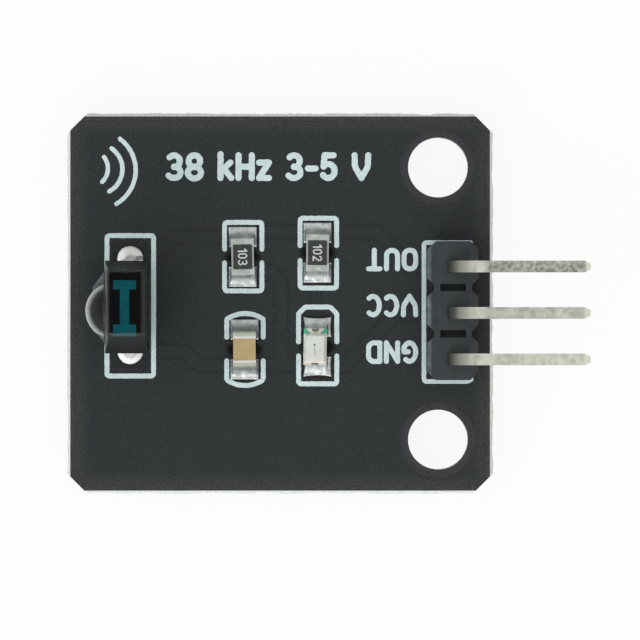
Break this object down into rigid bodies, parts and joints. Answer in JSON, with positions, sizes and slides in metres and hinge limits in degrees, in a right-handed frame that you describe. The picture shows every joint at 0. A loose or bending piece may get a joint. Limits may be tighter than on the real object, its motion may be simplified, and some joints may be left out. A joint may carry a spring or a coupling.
{
  "type": "infrared receiver module",
  "caption": "Small black breakout board with a dark lensed infrared receiver on three leads, a signal LED, chip resistors, a capacitor and a right-angle pin header.",
  "frame": {"origin": "midway between the two mounting holes, on the underside of the board's lower solder mask", "axes": "+X along the header pins, away from the receiver; +Y across the board; +Z out of the parts side"},
  "size_m": [0.0287, 0.021, 0.0103],
  "materials": {
    "laminate": "satin",
    "copper": "satin",
    "tinned_copper": "satin",
    "solder_mask": "satin",
    "white_ink": "matte",
    "header_plastic": "satin",
    "pin_plating": "satin",
    "solder": "satin",
    "tinted_epoxy": "gloss",
    "lead_plating": "satin",
    "silicon": "gloss",
    "alumina": "matte",
    "resistor_cover": "satin",
    "capacitor_ceramic": "satin",
    "tin_plating": "satin",
    "gold_plating": "satin",
    "led_laminate": "matte",
    "clear_resin": "satin",
    "led_crystal": "gloss",
    "green_ink": "matte"
  },
  "bodies": {
    "root": {"board_core": "laminate", "copper_top": "copper", "copper_bottom": "copper", "hole_barrels": "tinned_copper", "solder_mask_top": "solder_mask", "solder_mask_bottom": "solder_mask", "legend_frames": "white_ink", "header_housing": "header_plastic", "header_pin_out": "pin_plating", "header_pin_supply": "pin_plating", "header_pin_ground": "pin_plating", "header_solder": "solder", "receiver_body": "tinted_epoxy", "receiver_lead_out": "lead_plating", "receiver_lead_ground": "lead_plating", "receiver_lead_supply": "lead_plating", "receiver_photodiode": "silicon", "receiver_amplifier_chip": "silicon", "receiver_solder": "solder", "pullup_resistor_ceramic": "alumina", "pullup_resistor_cover": "resistor_cover", "pullup_resistor_terminals": "tin_plating", "pullup_resistor_solder": "solder", "led_resistor_ceramic": "alumina", "led_resistor_cover": "resistor_cover", "led_resistor_terminals": "tin_plating", "led_resistor_solder": "solder", "capacitor_ceramic": "capacitor_ceramic", "capacitor_terminals": "tin_plating", "capacitor_solder": "solder", "led_base": "led_laminate", "led_terminals": "gold_plating", "led_lens": "clear_resin", "led_chip": "led_crystal", "led_polarity_marks": "green_ink", "led_solder": "solder"}
  },
  "joints": []
}
